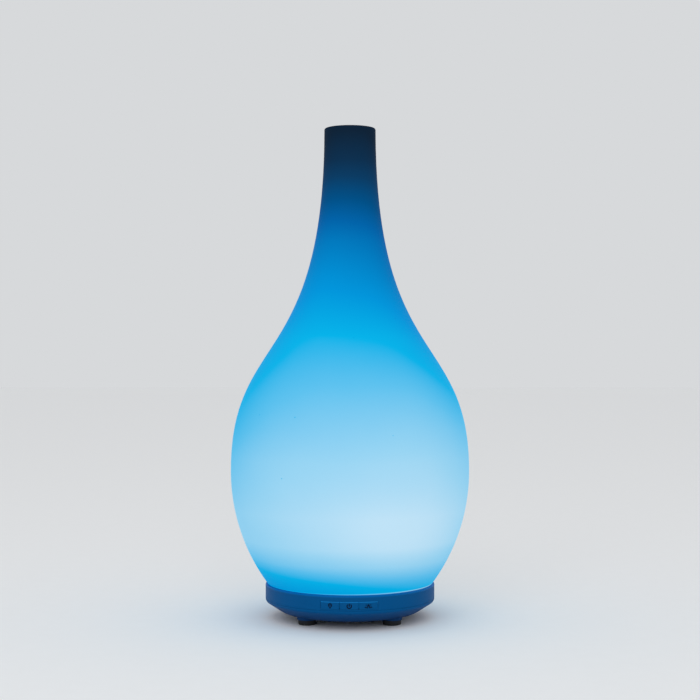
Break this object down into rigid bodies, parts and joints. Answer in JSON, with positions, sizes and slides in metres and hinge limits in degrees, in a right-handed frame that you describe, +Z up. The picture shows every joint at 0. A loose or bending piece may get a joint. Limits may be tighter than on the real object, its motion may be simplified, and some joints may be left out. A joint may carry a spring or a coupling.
{
  "type": "cool mist humidifier",
  "caption": "Ultrasonic cool mist humidifier: a tall teardrop frosted glass shade lit from inside, on a round base with keys, tank and feet.",
  "frame": {"origin": "centre of the base on the surface that it stands on, under the shade's axis", "axes": "+Z up along the shade's axis, keys facing -Y, power inlet facing +Y, +X to the right seen from the front"},
  "size_m": [0.1622, 0.1622, 0.3332],
  "materials": {
    "frosted_glass": "satin",
    "casing_blue": "matte",
    "key_blue": "satin",
    "tank_plastic": "satin",
    "light_plastic": "satin",
    "black_rubber": "matte",
    "clear_silicone": "matte",
    "board_green": "satin",
    "dark_plastic": "satin",
    "screw_steel": "brushed",
    "disc_ceramic": "satin",
    "alloy": "satin",
    "copper_wire": "satin",
    "lamp_body": "gloss"
  },
  "bodies": {
    "base": {"board_screws": "screw_steel", "bottom_cover": "casing_blue", "capacitors": "alloy", "casing_screws": "screw_steel", "choke": "copper_wire", "clamp_screws": "screw_steel", "control_board": "board_green", "controller_chip": "dark_plastic", "driver_transistor": "dark_plastic", "fan_coil": "copper_wire", "fan_frame": "dark_plastic", "fan_hood": "tank_plastic", "fan_screws": "screw_steel", "foot_pads": "black_rubber", "heat_sink": "alloy", "inlet_pin": "screw_steel", "key_board": "board_green", "key_switches": "dark_plastic", "lamp_board": "board_green", "lamps": "lamp_body", "level_probes": "screw_steel", "light_ring": "light_plastic", "power_inlet": "dark_plastic", "shade_seal": "clear_silicone", "tank_screws": "screw_steel", "transducer_clamp": "alloy", "transducer_disc": "disc_ceramic", "transducer_seal": "clear_silicone", "upper_housing": "casing_blue", "water_tank": "tank_plastic", "wire_headers": "lamp_body"},
    "shade": {"glass_shade": "frosted_glass", "glass_throat": "frosted_glass"},
    "cover": {"mist_cover": "tank_plastic", "mist_nozzle": "tank_plastic"},
    "light_key": {"light_button": "key_blue"},
    "power_key": {"power_button": "key_blue"},
    "mist_key": {"mist_button": "key_blue"},
    "fan": {"fan_rotor": "dark_plastic", "fan_shaft": "screw_steel"}
  },
  "joints": [
    {"name": "shade_lift", "type": "slide", "parent": "base", "child": "shade", "axis": [0, 0, 1], "range_m": [0, 0.16]},
    {"name": "cover_lift", "type": "slide", "parent": "base", "child": "cover", "axis": [0, 0, 1], "range_m": [0, 0.04]},
    {"name": "light_press", "type": "slide", "parent": "base", "child": "light_key", "axis": [0, 1, 0], "range_m": [0, 0.0005], "stiffness_N_per_m": 1500, "springref_m": -0.0004},
    {"name": "power_press", "type": "slide", "parent": "base", "child": "power_key", "axis": [0, 1, 0], "range_m": [0, 0.0005], "stiffness_N_per_m": 1500, "springref_m": -0.0004},
    {"name": "mist_press", "type": "slide", "parent": "base", "child": "mist_key", "axis": [0, 1, 0], "range_m": [0, 0.0005], "stiffness_N_per_m": 1500, "springref_m": -0.0004},
    {"name": "fan_spin", "type": "hinge", "parent": "base", "child": "fan", "pos_m": [-0.02605, 0, 0.0128], "axis": [0, 0, 1], "continuous": true}
  ]
}
